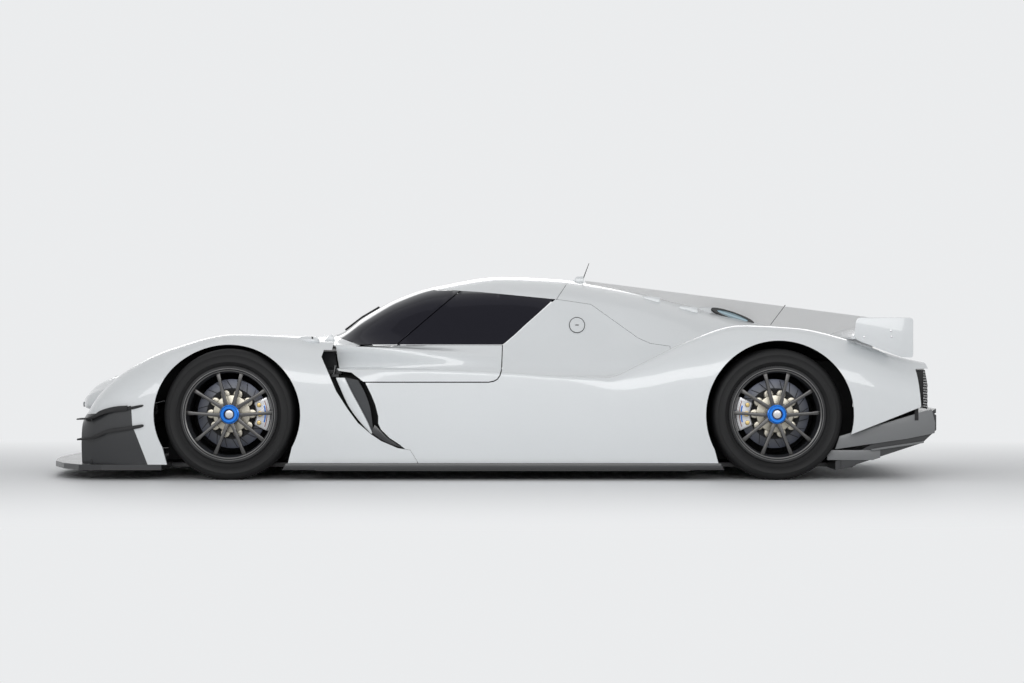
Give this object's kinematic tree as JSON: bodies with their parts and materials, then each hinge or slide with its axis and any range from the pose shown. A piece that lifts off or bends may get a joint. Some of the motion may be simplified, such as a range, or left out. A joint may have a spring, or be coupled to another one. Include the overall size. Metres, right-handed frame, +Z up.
{
  "type": "closed endurance racing concept car",
  "caption": "Low closed-cockpit concept car with dihedral doors, long fin, wing between endplates and centre-lock V-spoke wheels.",
  "frame": {"origin": "on the ground, midway along the car's length, on its middle plane", "axes": "nose towards -X, left side towards -Y, +Z up"},
  "size_m": [4.89, 1.9954, 1.2061],
  "materials": {
    "white_paint": "gloss white paint",
    "carbon": "satin black composite",
    "dark_glass": "dark tinted glass",
    "rubber": "black rubber",
    "rim_metal": "satin gunmetal",
    "bare_metal": "machined metal",
    "lamp": "clear lens",
    "red_lens": "red lens",
    "trim": "black trim",
    "seat_fabric": "dark fabric"
  },
  "bodies": {
    "chassis": {"front_clam": "white_paint", "corner_panel_left": "carbon", "corner_panel_right": "carbon", "headlamp_left": "lamp", "headlamp_right": "lamp", "vent_blade_left": "white_paint", "vent_blade_right": "white_paint", "nose_grille": "trim", "splitter": "carbon", "cowl": "white_paint", "windscreen": "dark_glass", "wiper": "trim", "roof": "white_paint", "side_body_left": "white_paint", "side_body_right": "white_paint", "engine_cover": "white_paint", "rear_wing": "white_paint", "rear_grille": "trim", "tail_lamps": "red_lens", "diffuser": "carbon", "tub": "carbon", "engine": "bare_metal", "front_suspension": "bare_metal", "rear_suspension": "bare_metal", "knuckle_rear_left": "bare_metal", "knuckle_rear_right": "bare_metal", "seat_left": "seat_fabric", "seat_right": "seat_fabric", "dash": "trim", "steering_wheel": "trim", "antenna": "trim"},
    "door_l": {"door_left": "white_paint", "door_glass_left": "dark_glass"},
    "door_r": {"door_right": "white_paint", "door_glass_right": "dark_glass"},
    "upright_fl": {"knuckle_front_left": "bare_metal"},
    "upright_fr": {"knuckle_front_right": "bare_metal"},
    "wheel_fl": {"rim_front_left": "rim_metal", "tyre_front_left": "rubber"},
    "wheel_fr": {"rim_front_right": "rim_metal", "tyre_front_right": "rubber"},
    "wheel_rl": {"rim_rear_left": "rim_metal", "tyre_rear_left": "rubber"},
    "wheel_rr": {"rim_rear_right": "rim_metal", "tyre_rear_right": "rubber"}
  },
  "joints": [
    {"name": "steer_left", "type": "hinge", "parent": "chassis", "child": "upright_fl", "pos_m": [-1.375, -0.7, 0.355], "axis": [0, 0, 1], "range_deg": [-18, 18]},
    {"name": "steer_right", "type": "hinge", "parent": "chassis", "child": "upright_fr", "pos_m": [-1.375, 0.7, 0.355], "axis": [0, 0, 1], "range_deg": [-18, 18]},
    {"name": "spin_front_left", "type": "hinge", "parent": "upright_fl", "child": "wheel_fl", "pos_m": [-1.375, -0.81, 0.355], "axis": [0, -1, 0], "continuous": true},
    {"name": "spin_front_right", "type": "hinge", "parent": "upright_fr", "child": "wheel_fr", "pos_m": [-1.375, 0.81, 0.355], "axis": [0, -1, 0], "continuous": true},
    {"name": "spin_rear_left", "type": "hinge", "parent": "chassis", "child": "wheel_rl", "pos_m": [1.58, -0.81, 0.355], "axis": [0, -1, 0], "continuous": true},
    {"name": "spin_rear_right", "type": "hinge", "parent": "chassis", "child": "wheel_rr", "pos_m": [1.58, 0.81, 0.355], "axis": [0, -1, 0], "continuous": true},
    {"name": "door_left_open", "type": "hinge", "parent": "chassis", "child": "door_l", "pos_m": [-0.815, -0.86, 0.59], "axis": [-0.1473, -0.1178, -0.982], "range_deg": [0, 60]},
    {"name": "door_right_open", "type": "hinge", "parent": "chassis", "child": "door_r", "pos_m": [-0.815, 0.86, 0.59], "axis": [0.1473, -0.1178, 0.982], "range_deg": [0, 60]}
  ],
  "couplings": [
    {"joint": "steer_right", "follows": "steer_left", "ratio": 1}
  ]
}
